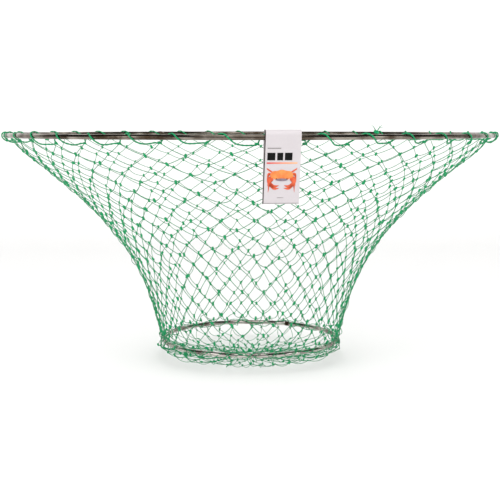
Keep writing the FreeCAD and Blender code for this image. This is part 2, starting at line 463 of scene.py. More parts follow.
# %% Geometry Nodes helpers
def new_tree(name, inputs):
    """An empty tree with a geometry input and output and the named inputs given as (name, type)."""
    tree = bpy.data.node_groups.new(name, "GeometryNodeTree")
    tree.interface.new_socket("Geometry", in_out="INPUT", socket_type="NodeSocketGeometry")
    for label, kind in inputs:
        tree.interface.new_socket(label, in_out="INPUT", socket_type="NodeSocket" + kind)
    tree.interface.new_socket("Geometry", in_out="OUTPUT", socket_type="NodeSocketGeometry")
    return tree


def add_node(tree, kind, settings=None, values=None):
    """Adds a node: its settings first, then a value or a link for each socket."""
    made = tree.nodes.new(kind)
    for name, value in (settings or {}).items():
        setattr(made, name, value)
    for name, value in (values or {}).items():
        if isinstance(value, bpy.types.NodeSocket):
            tree.links.new(value, made.inputs[name])
        else:
            made.inputs[name].default_value = value
    return made


def grown(name, source, tree, values):
    """Runs a tree on a source mesh and keeps the result as a plain mesh piece."""
    start = bpy.data.objects.new(name + "_source", source)
    scene.collection.objects.link(start)
    modifier = start.modifiers.new("grow", "NODES")
    modifier.node_group = tree
    for item in tree.interface.items_tree:
        if item.in_out == "INPUT" and item.name in values:
            modifier[item.identifier] = values[item.name]
    depsgraph = bpy.context.evaluated_depsgraph_get()
    mesh = bpy.data.meshes.new_from_object(start.evaluated_get(depsgraph))
    mesh.name = name
    bpy.data.objects.remove(start)
    bpy.data.meshes.remove(source)
    return finished(name, mesh)


print("tree helpers ready")

# %% The twine tree
SECTION_SIDES = 6


def build_twine_tree():
    sizes = ("Thickness", "Flatness", "Point Spacing", "Twist Length")
    tree = new_tree("twine along lines", [(label, "Float") for label in sizes] + [("Twine", "Material")])
    given = tree.nodes.new("NodeGroupInput").outputs
    lines = add_node(tree, "GeometryNodeMeshToCurve", values={"Mesh": given["Geometry"]})
    evened = add_node(
        tree, "GeometryNodeResampleCurve", {"mode": "LENGTH"},
        {"Curve": lines.outputs[0], "Length": given["Point Spacing"]},
    )
    distance = add_node(tree, "GeometryNodeSplineParameter").outputs["Length"]
    turns = add_node(
        tree, "ShaderNodeMath", {"operation": "DIVIDE"}, {0: distance, 1: given["Twist Length"]}
    )
    tilt = add_node(
        tree, "ShaderNodeMath", {"operation": "MULTIPLY"}, {0: turns.outputs[0], 1: 2 * math.pi}
    )
    twisted = add_node(
        tree, "GeometryNodeSetCurveTilt", values={"Curve": evened.outputs[0], "Tilt": tilt.outputs[0]}
    )
    marked = add_node(
        tree, "GeometryNodeStoreNamedAttribute", {"data_type": "FLOAT", "domain": "POINT"},
        {"Geometry": twisted.outputs[0], "Name": "along", "Value": distance},
    )
    radius = add_node(
        tree, "ShaderNodeMath", {"operation": "MULTIPLY"}, {0: given["Thickness"], 1: 0.5}
    )
    circle = add_node(
        tree, "GeometryNodeCurvePrimitiveCircle",
        values={"Resolution": SECTION_SIDES, "Radius": radius.outputs[0]},
    )
    squeeze = add_node(tree, "ShaderNodeCombineXYZ", values={"X": 1.0, "Y": given["Flatness"], "Z": 1.0})
    flattened = add_node(
        tree, "GeometryNodeTransform", values={"Geometry": circle.outputs[0], "Scale": squeeze.outputs[0]}
    )
    around = add_node(tree, "GeometryNodeSplineParameter").outputs["Factor"]
    section = add_node(
        tree, "GeometryNodeStoreNamedAttribute", {"data_type": "FLOAT", "domain": "POINT"},
        {"Geometry": flattened.outputs[0], "Name": "around", "Value": around},
    )
    swept = add_node(
        tree, "GeometryNodeCurveToMesh",
        values={"Curve": marked.outputs[0], "Profile Curve": section.outputs[0], "Fill Caps": True},
    )
    real = add_node(tree, "GeometryNodeRealizeInstances", values={"Geometry": swept.outputs[0]})
    dressed = add_node(
        tree, "GeometryNodeSetMaterial", values={"Geometry": real.outputs[0], "Material": given["Twine"]}
    )
    result = tree.nodes.new("NodeGroupOutput")
    tree.links.new(dressed.outputs[0], result.inputs["Geometry"])
    return tree


twine_tree = build_twine_tree()


def line_mesh(name, lines):
    """A mesh of loose edges, one open chain for each line."""
    points, edges = [], []
    for line in lines:
        first = len(points)
        points.extend(tuple(point) for point in line)
        edges.extend((first + i, first + i + 1) for i in range(len(line) - 1))
    mesh = bpy.data.meshes.new(name)
    mesh.from_pydata(points, edges, [])
    return mesh


def twine_piece(name, lines, thickness, material, spacing=0.0023, twist=0.011, flatness=0.66):
    """Twine along each line. It turns once in the twist length."""
    values = {
        "Thickness": thickness,
        "Flatness": flatness,
        "Point Spacing": spacing,
        "Twist Length": twist,
        "Twine": material,
    }
    return grown(name, line_mesh(name + "_lines", lines), twine_tree, values)


print("twine tree:", len(twine_tree.nodes), "nodes")

# %% [markdown]
# ## The knot
# Diamond netting is tied with sheet bends: a small hard lump with the twine laid round it on the slant.
# There are hundreds of them, so the knot is a lump of a few dozen faces whose ridges run round it in a
# spiral. A second tree sets one on each point, turned and sized by the point's own attributes.


# %% The knot mesh and its tree
def knot_mesh(name, rings=7, sides=8):
    """A lump 1 long and about half as wide and as deep, with slanting ridges and closed ends."""
    points = [(-0.5, 0, 0)]
    for ring in range(1, rings):
        share = ring / rings
        x = -0.5 * math.cos(math.pi * share)
        girth = math.sin(math.pi * share) ** 0.7
        for side in range(sides):
            angle = 2 * math.pi * side / sides + 1.9 * share
            ridge = 1 + 0.16 * math.cos(2 * angle + 7 * share) + 0.1 * math.sin(9.0 * share + angle)
            y = 0.28 * girth * ridge * math.cos(angle)
            z = 0.25 * girth * ridge * math.sin(angle)
            points.append((x, y, z))
    points.append((0.5, 0, 0))
    last = len(points) - 1
    faces = [(0, 1 + (side + 1) % sides, 1 + side) for side in range(sides)]
    for ring in range(rings - 2):
        base = 1 + ring * sides
        for side in range(sides):
            after = (side + 1) % sides
            faces.append((base + side, base + after, base + sides + after, base + sides + side))
    base = 1 + (rings - 2) * sides
    faces += [(last, base + side, base + (side + 1) % sides) for side in range(sides)]
    mesh = bpy.data.meshes.new(name)
    mesh.from_pydata(points, [], faces)
    return mesh


def build_knot_tree():
    tree = new_tree("knots on points", [("Knot", "Object"), ("Twine", "Material")])
    given = tree.nodes.new("NodeGroupInput").outputs
    knot = add_node(
        tree, "GeometryNodeObjectInfo", {"transform_space": "ORIGINAL"}, {"Object": given["Knot"]}
    )
    turn, spread = (
        add_node(tree, "GeometryNodeInputNamedAttribute", {"data_type": "FLOAT_VECTOR"}, {"Name": label})
        for label in ("turn", "spread")
    )
    rotation = add_node(tree, "FunctionNodeEulerToRotation", values={0: turn.outputs[0]})
    tied = add_node(
        tree, "GeometryNodeInstanceOnPoints",
        values={
            "Points": given["Geometry"], "Instance": knot.outputs["Geometry"],
            "Rotation": rotation.outputs[0], "Scale": spread.outputs[0],
        },
    )
    real = add_node(tree, "GeometryNodeRealizeInstances", values={"Geometry": tied.outputs[0]})
    dressed = add_node(
        tree, "GeometryNodeSetMaterial", values={"Geometry": real.outputs[0], "Material": given["Twine"]}
    )
    result = tree.nodes.new("NodeGroupOutput")
    tree.links.new(dressed.outputs[0], result.inputs["Geometry"])
    return tree


KNOT_GIRTH = 0.95
knot_tree = build_knot_tree()
knot_pattern = bpy.data.objects.new("knot_pattern", knot_mesh("knot_pattern"))


def knot_piece(name, knots, material):
    """Knots given as (place, outward direction, lean, length in metres)."""
    mesh = bpy.data.meshes.new(name + "_points")
    mesh.from_pydata([tuple(knot[0]) for knot in knots], [], [])
    turns, spreads = [], []
    for _, outward, lean, length in knots:
        facing = outward.to_track_quat("Z", "X") @ Euler((0, 0, lean)).to_quaternion()
        turns.extend(facing.to_euler())
        spreads.extend((length, length * KNOT_GIRTH, length * KNOT_GIRTH))
    for label, numbers in (("turn", turns), ("spread", spreads)):
        attribute = mesh.attributes.new(label, "FLOAT_VECTOR", "POINT")
        attribute.data.foreach_set("vector", numbers)
    return grown(name, mesh, knot_tree, {"Knot": knot_pattern, "Twine": material})


print("knot:", len(knot_pattern.data.polygons), "faces")

# %% [markdown]
# ## Hanging the net
# The wall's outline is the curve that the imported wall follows: a parabola that flares to the hoop, a
# little fuller low down. The knots lie on it in rows, each row half a mesh round from the last. Then the
# net is hung: each bar gets a length of its own, a little long or a little short, and the knots move
# until hardly a bar is stretched. Bars that come out longer than they need to be hang slack, which is
# what makes netting look soft.

# %% The wall's outline
WALL_TOE = 0.36
MESHES = 40
BAR_ROWS = [4, 4, 4, 3, 3, 3]
FIRST_KNOT = 0.015
LAST_KNOT = 0.0075
FIRST_COLUMN = math.radians(-8.0)
COLUMN_DRIFT = math.radians(2.5)
RING_SPREAD = 0.22


def wall_radius(depth):
    down = depth / NET_HEIGHT
    flare = (1 - down) ** 2 + WALL_TOE * down**4 * (1 - down)
    return RING_R + (HOOP_R - RING_R) * flare


outline_depth = np.linspace(0, NET_HEIGHT, 400)
outline_radius = wall_radius(outline_depth)
outline_step = np.hypot(np.diff(outline_depth), np.diff(outline_radius))
outline_along = np.concatenate([[0], np.cumsum(outline_step)])
zone_depths = [NET_HEIGHT * zone / ZONES for zone in range(ZONES + 1)]
zone_along = np.interp(zone_depths, outline_depth, outline_along)
zone_along[0] = FIRST_KNOT
zone_along[-1] -= LAST_KNOT

row_along, row_zone = [zone_along[0]], [0]
for zone, bars in enumerate(BAR_ROWS):
    row_along.extend(np.linspace(zone_along[zone], zone_along[zone + 1], bars + 1)[1:])
    row_zone.extend([zone] * bars)
ROWS = len(row_along)
print(f"{ROWS} rows of {MESHES} knots down {1000 * outline_along[-1]:.0f} mm of net")


# %% Place the knots of the wall
def on_wall(along, turn):
    """A point of the wall. A turn of 0 is the front, and it grows to the right."""
    depth = np.interp(along, outline_along, outline_depth)
    radius = np.interp(along, outline_along, outline_radius)
    return np.stack([radius * np.sin(turn), -radius * np.cos(turn), HOOP_Z - depth], axis=-1)


random = np.random.default_rng(11)
row_numbers = np.arange(ROWS)[:, None]
columns = FIRST_COLUMN + 2 * math.pi / MESHES * (np.arange(MESHES)[None, :] + 0.5 * (row_numbers % 2))
share_down = (np.array(row_along) / outline_along[-1])[:, None]
crowding = RING_SPREAD * share_down**1.2
turns = columns + COLUMN_DRIFT * np.sin(columns) + crowding / 2 * np.sin(2 * columns)
turns = turns + share_down * 0.012 * np.sin(5 * columns + 0.4) + random.normal(0, 0.004, turns.shape)
alongs = np.array(row_along)[:, None] + random.normal(0, 0.0012, turns.shape)
alongs[0] += 0.0015 * np.sin(7 * columns[0])
wall_knots = on_wall(alongs, turns)


def bars_between(row):
    """The two bars that leave each knot of a row for the next row, as pairs of column numbers."""
    side = -1 if row % 2 == 0 else 1
    return [(c, c) for c in range(MESHES)] + [(c, (c + side) % MESHES) for c in range(MESHES)]


bar_list = [(row, a, b) for row in range(ROWS - 1) for a, b in bars_between(row)]
bar_from = np.array([row * MESHES + a for row, a, _ in bar_list])
bar_to = np.array([(row + 1) * MESHES + b for row, _, b in bar_list])
print(len(bar_list), "bars")

# %% Let the net hang
HANG_ROUNDS = 60
HANG_DROP = 0.00012
HANG_GIVE = 0.25
SLACK_BARS = 0.06
flat_knots = wall_knots.reshape(-1, 3)
first_lengths = np.linalg.norm(flat_knots[bar_to] - flat_knots[bar_from], axis=1)
spare_share = np.clip(random.normal(0.004, 0.030, len(bar_list)), -0.05, 0.06)
is_slack = random.random(len(bar_list)) < SLACK_BARS
spare_share += np.where(is_slack, random.uniform(0.02, 0.07, len(bar_list)), 0)
cut_lengths = first_lengths * (1 + spare_share)
held = np.zeros(len(flat_knots), bool)
held[:MESHES] = held[-MESHES:] = True
hanging = flat_knots.copy()
for _ in range(HANG_ROUNDS):
    hanging[~held, 2] -= HANG_DROP
    reach = hanging[bar_to] - hanging[bar_from]
    length = np.linalg.norm(reach, axis=1)
    pull = reach * (np.maximum(length - cut_lengths, 0) / length * HANG_GIVE)[:, None]
    shift = np.zeros_like(hanging)
    np.add.at(shift, bar_from, pull)
    np.add.at(shift, bar_to, -pull)
    hanging[~held] += shift[~held]
wall_knots = hanging.reshape(ROWS, MESHES, 3)
moved = np.linalg.norm(hanging - flat_knots, axis=1)
print(f"knots moved {1000 * moved.mean():.1f} mm on average, {1000 * moved.max():.1f} mm at most")


# %% Bars with their slack
WALL_KNOT = 0.0066


def bar_line(start, end, cut_length, outward, sideways, points=9):
    """A bar from knot to knot. Spare length makes it bow down, outward and a little sideways."""
    start, end = Vector(start), Vector(end)
    span = (end - start).length
    spare = max(cut_length - span, 0.0) + 0.00012
    bow = math.sqrt(3 / 8 * spare * span)
    direction = Vector((0, 0, -0.8)) + 0.2 * outward
    along = (end - start).normalized()
    direction = direction - along * direction.dot(along)
    direction = direction + along.cross(outward).normalized() * sideways
    direction.normalize()
    line = []
    for number in range(points):
        share = number / (points - 1)
        line.append(start + (end - start) * share + direction * (4 * share * (1 - share) * bow))
    return line


def outward_at(point, rise=0.45):
    """The way out of the net at a point, tipped down by the rise."""
    return Vector((point[0], point[1], 0)).normalized() + Vector((0, 0, -rise))


wall_lines = [[] for _ in range(ZONES)]
sideways = random.normal(0, 0.5, len(bar_list))
for number, (row, a, b) in enumerate(bar_list):
    start, end = wall_knots[row, a], wall_knots[row + 1, b]
    line = bar_line(start, end, cut_lengths[number], outward_at(start), sideways[number])
    wall_lines[row_zone[row + 1]].append(line)

wall_knot_list = [[] for _ in range(ZONES)]
for row in range(ROWS):
    for column in range(MESHES):
        place = Vector(wall_knots[row, column])
        lean = random.normal(0, 0.35) + (1.4 if row == 0 else 0)
        length = WALL_KNOT * (1 + random.normal(0, 0.12))
        wall_knot_list[row_zone[row]].append((place, outward_at(place), lean, length))
print([len(lines) for lines in wall_lines], "bars in each zone")

# %% [markdown]
# ## One piece for each folding zone
# When the net folds, each zone of the wall closes up between two rings of knots. So each zone is one
# piece of twine and one of knots.

# %% Wall pieces
TWINE = 0.0013
NET_FLATNESS = 0.82
for zone in range(ZONES):
    start = (0, 0, HOOP_Z - zone_depths[zone])
    end = (0, 0, HOOP_Z - zone_depths[zone + 1])
    bars = twine_piece(
        f"wall_twine_{zone + 1}", wall_lines[zone], TWINE, net_twine, flatness=NET_FLATNESS
    )
    knots = knot_piece(f"wall_knots_{zone + 1}", wall_knot_list[zone], knot_twine)
    for piece in (bars, knots):
        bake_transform(piece)
        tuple(start)
        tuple(end)
    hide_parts(f"net_wall_{zone + 1}")
    print(f"zone {zone + 1}: {triangles(bars)} + {triangles(knots)} triangles")
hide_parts(f"net_wall_{ZONES + 1}")

# %% [markdown]
# ## Winding twine round a rod
# The lacing is followed by three numbers: how far round the ring it is, its angle round the rod (0 is
# outward and 90 is up), and its distance from the rod's centre line. A few such places for each turn
# are joined by a smooth curve.


# %% Winding helpers
def near_rod(ring_r, ring_z, turn, angle, reach):
    """The point at a turn round the ring, an angle round the rod in degrees and a distance from it."""
    radius = ring_r + reach * math.cos(math.radians(angle))
    height = ring_z + reach * math.sin(math.radians(angle))
    return Vector((radius * math.sin(turn), -radius * math.cos(turn), height))


def from_rod(ring_r, ring_z, point):
    """The turn, angle and reach of a point: the reverse of near_rod."""
    out = math.hypot(point[0], point[1]) - ring_r
    up = point[2] - ring_z
    turn = math.atan2(point[0], -point[1])
    return turn, math.degrees(math.atan2(up, out)) % 360, math.hypot(out, up)


def smooth_rows(keys, steps):
    """Rows of numbers that pass smoothly through the key rows."""
    keys = np.asarray(keys, float)
    padded = np.vstack([2 * keys[0] - keys[1], keys, 2 * keys[-1] - keys[-2]])
    share = np.linspace(0, 1, steps, endpoint=False)[:, None]
    parts = []
    for before, start, end, after in zip(padded, padded[1:], padded[2:], padded[3:]):
        slope = end - before
        bend = 2 * before - 5 * start + 4 * end - after
        twist = 3 * start - before - 3 * end + after
        parts.append(start + share * slope / 2 + share**2 * bend / 2 + share**3 * twist / 2)
    return np.vstack(parts + [keys[-1:]])


def wound(ring_r, ring_z, keys, steps):
    """A line of points through keys of (turn, angle, reach)."""
    return [near_rod(ring_r, ring_z, *row) for row in smooth_rows(keys, steps)]


print("winding helpers ready")

# %% [markdown]
# ## Lacing the hoop
# One running twine laces the net's first row of knots to the hoop. From a knot it climbs inside the
# hoop, crosses over the top, comes down slanting across the front, and runs on below the rod to the next
# knot. Each place of a turn is a share of the way to the next knot, an angle round the rod, and how far
# the twine leaves the rod for the knot. Under the card tag it crosses before the card's edge and stays
# close to the rod, because the card's two leaves hang over it.

# %% The top lacing
LACING_TWINE = 0.0024
KNOT_ANGLE = 217
TOP_TURN = [
    (0.00, KNOT_ANGLE, 1.0), (0.08, 206, 0.4), (0.16, 180, 0.04), (0.24, 135, 0), (0.32, 90, 0),
    (0.385, 45, 0), (0.44, 0, 0), (0.495, -45, 0.02), (0.55, -82, 0.20), (0.64, -110, 0.52),
    (0.76, -129, 0.80), (0.89, -139, 0.95),
]
OVER_TOP = 0.4
hug = ROD + LACING_TWINE / 2 - 0.0001


def under_card(share, key_angle, freedom):
    """A place of the one turn that the card hangs over: held to the rod and away from the card's edges."""
    if share > 0.1:
        freedom *= 0.01
        key_angle = max(key_angle, -118)
    share = 0.55 * share if share < 0.3 else share + 0.35 * max(share - 0.7, 0)
    return share, key_angle, freedom


first_row = sorted((from_rod(HOOP_R, HOOP_Z, knot) for knot in wall_knots[0]), key=lambda place: place[0])
first_row.append((first_row[0][0] + 2 * math.pi, *first_row[0][1:]))
top_keys = []
for (turn, angle, reach), (next_turn, next_angle, next_reach) in zip(first_row, first_row[1:]):
    for share, key_angle, freedom in TOP_TURN:
        knot_angle, knot_reach = (angle, reach) if share < OVER_TOP else (next_angle, next_reach)
        if turn < TAG_TURN < next_turn:
            share, key_angle, freedom = under_card(share, key_angle, freedom)
        wobble = random.normal(0, 3) if freedom else random.normal(0, 1.5)
        top_keys.append((
            turn + (next_turn - turn) * share,
            key_angle + (knot_angle - KNOT_ANGLE) * freedom + wobble,
            hug + (knot_reach - hug) * freedom,
        ))

unwound = [(turn, angle - 360 * (number // len(TOP_TURN)), reach)
           for number, (turn, angle, reach) in enumerate(top_keys)]
last_turn = len(top_keys) // len(TOP_TURN)
unwound.append((first_row[-1][0], first_row[-1][1] - 360 * last_turn, first_row[-1][2]))
top_line = wound(HOOP_R, HOOP_Z, unwound, 8)
top_lacing = twine_piece(
    "top_lacing_twine", [top_line], LACING_TWINE, lacing_twine, spacing=0.0013, twist=0.012, flatness=0.78
)
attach(top_lacing, "hoop")
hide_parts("top_lacing")
print(f"top lacing: {last_turn} turns, {triangles(top_lacing)} triangles")

# %% [markdown]
# ## The floor net and the lower lacing
# Below the ring the netting goes on: it hangs outside the ring, turns under it and is drawn together
# in the middle by a cord. Its rows follow a sagging outline from the ring to the cord. The last wall
# knots sit just above the ring, and their bars are draped over the outside of the rod.

# %% Floor rows
FLOOR_OUTLINE_R = [1.039, 0.975, 0.860, 0.681, 0.430, 0.179, 0.064]
FLOOR_OUTLINE_DEPTH = [0.32, 0.53, 0.70, 0.83, 0.90, 0.935, 0.94]
FLOOR_ROWS = 5
FLOOR_KNOT = 0.0052
FLOOR_TWINE = 0.8 * TWINE
GATHER_R = 0.0085
GATHER_BARS = 0.026

floor_places = zip(FLOOR_OUTLINE_R, FLOOR_OUTLINE_DEPTH)
outline = smooth_rows([(RING_R * r, FLOOR_Z - FLOOR_DEPTH * d) for r, d in floor_places], 12)
steps = np.concatenate([[0], np.cumsum(np.hypot(*np.diff(outline, axis=0).T))])
floor_at = np.linspace(0, steps[-1] - GATHER_BARS, FLOOR_ROWS)
floor_r = np.interp(floor_at, steps, outline[:, 0])
floor_z = np.interp(floor_at, steps, outline[:, 1])

floor_knots = []
for row in range(FLOOR_ROWS):
    column = columns[(ROWS + row) % 2]
    lane = column + COLUMN_DRIFT * np.sin(column)
    lane = lane + RING_SPREAD / 2 * np.sin(2 * lane) + random.normal(0, 0.02, MESHES)
    radius = floor_r[row] + random.normal(0, 0.0018, MESHES)
    height = floor_z[row] + random.normal(0, 0.0014 if row else 0.0022, MESHES)
    floor_knots.append(np.stack([radius * np.sin(lane), -radius * np.cos(lane), height], axis=-1))
floor_knots = np.array(floor_knots)
print(f"{FLOOR_ROWS} floor rows, {1000 * floor_r[0]:.0f} to {1000 * floor_r[-1]:.0f} mm from the middle")


# %% Floor bars
def draped(start, end):
    """A bar from a wall knot above the ring to a floor knot below it, over the outside of the rod."""
    first_turn, *first = from_rod(RING_R, RING_Z, start)
    last_turn, last_angle, last_reach = from_rod(RING_R, RING_Z, end)
    if last_turn - first_turn > math.pi:
        last_turn -= 2 * math.pi
    if first_turn - last_turn > math.pi:
        last_turn += 2 * math.pi
    close = ROD + TWINE / 2 + 0.0006
    keys = [(first_turn, *first)]
    for share, angle, lift in ((0.25, 42, 0.0012), (0.5, 8, 0), (0.8, -34, 0.0018)):
        keys.append((first_turn * (1 - share) + last_turn * share, angle, close + lift))
    keys.append((last_turn, last_angle - 360, last_reach))
    return wound(RING_R, RING_Z, keys, 4)


floor_lines = []
for row in range(-1, FLOOR_ROWS - 1):
    for a, b in bars_between(ROWS + row):
        if row < 0:
            floor_lines.append(draped(wall_knots[-1, a], floor_knots[0, b]))
            continue
        start, end = floor_knots[row, a], floor_knots[row + 1, b]
        span = np.linalg.norm(end - start)
        cut = span * (1 + max(random.normal(0.03, 0.04), 0))
        floor_lines.append(bar_line(start, end, cut, outward_at(start, 1.5), random.normal(0, 0.8)))

GATHER_Z = FLOOR_Z - FLOOR_DEPTH * FLOOR_OUTLINE_DEPTH[-1]
for number, knot in enumerate(floor_knots[-1]):
    turn = math.atan2(knot[0], -knot[1])
    hold = Vector((GATHER_R * math.sin(turn), -GATHER_R * math.cos(turn), GATHER_Z - 0.0005))
    cut = (hold - Vector(knot)).length * random.uniform(1.005, 1.05)
    floor_lines.append(bar_line(knot, hold, cut, Vector((0, 0, 1)), random.normal(0, 0.5)))
print(len(floor_lines), "floor bars")

# %% Floor pieces
floor_net = twine_piece("floor_twine", floor_lines, FLOOR_TWINE, net_twine, flatness=NET_FLATNESS)
floor_knot_list = []
for row in floor_knots:
    for knot in row:
        length = FLOOR_KNOT * (1 + random.normal(0, 0.14))
        floor_knot_list.append((Vector(knot), outward_at(knot, 0.8), random.normal(0, 0.9), length))
floor_knot_piece = knot_piece("floor_knots", floor_knot_list, knot_twine)
for piece in (floor_net, floor_knot_piece):
    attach(piece, "ring")
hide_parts("floor_net")
print("floor:", triangles(floor_net), "+", triangles(floor_knot_piece), "triangles")

# %% [markdown]
# The lower lacing is less tidy than the upper one. One strand takes 26 turns round the rod and a second
# takes 9 turns the other way, so not every mesh has a turn of its own. Both lie looser at the two sides,
# where the netting bunches, and here and there a turn is knotted. Two loose runs wave along inside the
# ring.

# %% The lower lacing
LOWER_TWINE = 0.0014
LOWER_KNOT = 0.0058
LOWER_STRANDS = ((26, 1), (9, -1))
KEYS_PER_TURN = 8
LOOSE_RUNS = ((-1.3, -0.40, -0.006), (0.30, 1.3, -0.004))
ring_lines = []
ring_knots = []
for strand, (turns_round, hand) in enumerate(LOWER_STRANDS):
    keys = []
    for number in range(turns_round * KEYS_PER_TURN + 1):
        share = number / KEYS_PER_TURN
        lean = 0.045 * math.sin(2 * math.pi * share * 0.5 + strand)
        at = 2 * math.pi * share / turns_round + lean * math.cos(2 * math.pi * (share + 0.1))
        bunched = abs(math.sin(at)) ** 4
        slack = abs(random.normal(0, 0.0004 + 0.0011 * bunched + 0.0003 * strand))
        low = max(-math.sin(2 * math.pi * share * hand), 0)
        reach = hug + 0.0002 + slack * (0.6 + 2 * low)
        keys.append((at + random.normal(0, 0.006), 360 * share * hand, reach))
        if number % KEYS_PER_TURN == strand * 3 + 1 and random.random() < 0.3 + 0.3 * bunched:
            place = near_rod(RING_R, RING_Z, at, random.uniform(-70, 80), ROD + 0.0022)
            ring_knots.append((place, outward_at(place, 0), random.normal(0.5, 0.8), LOWER_KNOT))
    ring_lines.append(wound(RING_R, RING_Z, keys, 4))

for first, last, lift in LOOSE_RUNS:
    at = np.linspace(first, last, 60)
    wave = np.sin(at * 9) + 0.5 * np.sin(at * 23 + 1)
    radius = RING_R - 0.0095 + 0.0025 * wave
    height = RING_Z + lift - 0.0035 * np.sin(at * 13 + 2)
    ring_lines.append([Vector(p) for p in zip(radius * np.sin(at), -radius * np.cos(at), height)])

ring_lacing = twine_piece(
    "bottom_lacing_twine", ring_lines, LOWER_TWINE, lacing_twine, spacing=0.0014, flatness=0.75
)
ring_knot_piece = knot_piece("bottom_lacing_knots", ring_knots, knot_twine)
for piece in (ring_lacing, ring_knot_piece):
    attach(piece, "ring")
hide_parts("bottom_lacing")
print(f"lower lacing: {triangles(ring_lacing)} triangles, {len(ring_knots)} small knots")

# %% [markdown]
# ## End knots and the gather
# The two lacings end in a small hard knot with frayed tails. The floor net's last meshes are threaded
# on a short cord, and its own knot hangs beneath.


# %% End knots, gather cord and gather knot
END_LUMP = 0.0062
TAIL_TWINE = 0.0017
FRAY_THREAD = 0.0005
GATHER_TWINE = 0.0019
GATHER_TURNS = 2.04
END_SPACING = 0.0012


def middle_of(node):
    """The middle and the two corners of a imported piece."""
    low, high = (Vector(corner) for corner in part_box(node))
    return (low + high) / 2, low, high


def tails(root, ways, length, thread_rise_and_groove_shade=4):
    """Frayed twine ends: each end opens into a few fine threads."""
    stout, fine = [], []
    for way in ways:
        way = Vector(way).normalized()
        tip = root + way * length * 0.55 + Vector((0, 0, 0.0006))
        stout.append([root, root + way * length * 0.3, tip])
        for _ in range(thread_rise_and_groove_shade):
            stray = Vector(random.normal(0, 0.3, 3))
            halfway = tip + (way + stray * 0.5) * length * 0.25
            fine.append([tip, halfway, tip + (way + stray) * length * 0.5])
    return stout, fine


def tied_end(name, node, body, root, ways, length):
    """A cluster of lumps with frayed tails."""
    lumps = []
    for number in range(4):
        turned = number * math.pi / 2 + 0.4
        offset = Vector((math.cos(turned), math.sin(turned), 0.6 * math.cos(3 * turned))) * 0.0016
        lumps.append((root + offset, Vector((0.3, 0.2, 1)), turned, END_LUMP))
    lump_piece = knot_piece(name + "_lumps", lumps, knot_twine)
    stout, fine = tails(root, ways, length)
    tail_piece = twine_piece(name + "_tails", stout, TAIL_TWINE, lacing_twine, END_SPACING)
    fray_piece = twine_piece(name + "_fray", fine, FRAY_THREAD, lacing_twine, END_SPACING)
    for piece in (lump_piece, tail_piece, fray_piece):
        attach(piece, body)
    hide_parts(node)


top_knot, top_knot_low, _ = middle_of("top_lacing_knot")
bottom_knot, _, bottom_knot_high = middle_of("bottom_lacing_knot")
top_knot.z = top_knot_low.z + 0.0026
bottom_knot.z = bottom_knot_high.z - 0.0030
top_out = Vector((top_knot.x, top_knot.y, 0)).normalized()
top_side = Vector((-top_out.y, top_out.x, 0))
tied_end("top_end_knot", "top_lacing_knot", "hoop", top_knot,
         [top_side + Vector((0, 0, 1.2)), -top_side + Vector((0, 0, 1.1)) + top_out * 0.3], 0.010)
tied_end("bottom_end_knot", "bottom_lacing_knot", "ring", bottom_knot,
         [Vector((0.4, -0.3, -1)), Vector((-0.6, 0.3, -1))], 0.010)

gather_knot, _, gather_high = middle_of("floor_gather_knot")
tied_end("gather_end_knot", "floor_gather_knot", "ring", gather_knot,
         [Vector((0.9, -0.4, 0.1)), Vector((-0.4, -0.9, 0.2))], 0.012)
cord_turn = np.linspace(0, 2 * math.pi * GATHER_TURNS, 80)
cord_r = GATHER_R - 0.0004 + 0.0004 * np.sin(3 * cord_turn)
cord_z = GATHER_Z - 0.0006 + 0.0011 * cord_turn / cord_turn[-1]
cord_line = [Vector(p) for p in zip(cord_r * np.sin(cord_turn), -cord_r * np.cos(cord_turn), cord_z)]
gather_cord = twine_piece("gather_cord", [cord_line], GATHER_TWINE, lacing_twine, 0.0014)
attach(gather_cord, "ring")
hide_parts("floor_gather_cord")
print("end knots, gather cord and gather knot tied")

# %% [markdown]
# ## The card tag
# The tag is one card, folded over the hoop: two leaves that hang from a round fold and meet at the
# foot. The outline is the middle line of the card in side view, and the card's thickness is added on
# both sides of it. The front leaf is printed.

# %% Card finishes
TAG_WIDTH = 0.046
TAG_EDGE_SHADE = 0.0013
card_finish = Finish("coated white card")
fibres = card_finish.noise(420.0, 3.0)
mottle = card_finish.noise(26.0, 2.0)
card_white = card_finish.blend(fibres * 0.3 + mottle * 0.7, colour(184, 178, 181), colour(198, 192, 195))
# The card's front face is dark along its left edge: a band of painted shade for the shadowed gap between
# the two leaves.
clear_of_edge_shade = card_finish.uv()[0].above(TAG_EDGE_SHADE - TAG_WIDTH / 2, 0.0001)
card_finish.surface(
    Base_Color=card_finish.blend(clear_of_edge_shade, colour(48, 38, 36), card_white),
    Roughness=mottle * 0.12 + 0.42,
    Specular_IOR_Level=0.3,
)
card_finish.bump(fibres, 0.15, 0.0001)


def ink(name, dark, bright, scale=160.0):
    """Printed ink: nearly flat colour with a fine grain."""
    finish = Finish(name)
    grain = finish.noise(scale, 3.0)
    finish.surface(
        Base_Color=finish.blend(grain, dark, bright), Roughness=grain * 0.1 + 0.5, Specular_IOR_Level=0.12
    )
    return finish


black_ink = ink("black ink", colour(10, 9, 10), colour(26, 24, 25))
grey_ink = ink("grey ink", colour(128, 124, 124), colour(150, 146, 146))
shell_ink = ink("orange ink", colour(186, 52, 26), colour(244, 168, 96), 130.0)
limb_ink = ink("red ink", colour(172, 44, 28), colour(226, 116, 80), 190.0)
mouth_ink = ink("violet ink", colour(96, 84, 96), colour(150, 136, 146), 300.0)
rule_finish = Finish("red to orange ink")
rule_share = rule_finish.uv()[0]
rule_finish.surface(
    Base_Color=rule_finish.blend(rule_share, colour(206, 24, 34), colour(246, 176, 120)), Roughness=0.45
)
print("card and ink finishes ready")

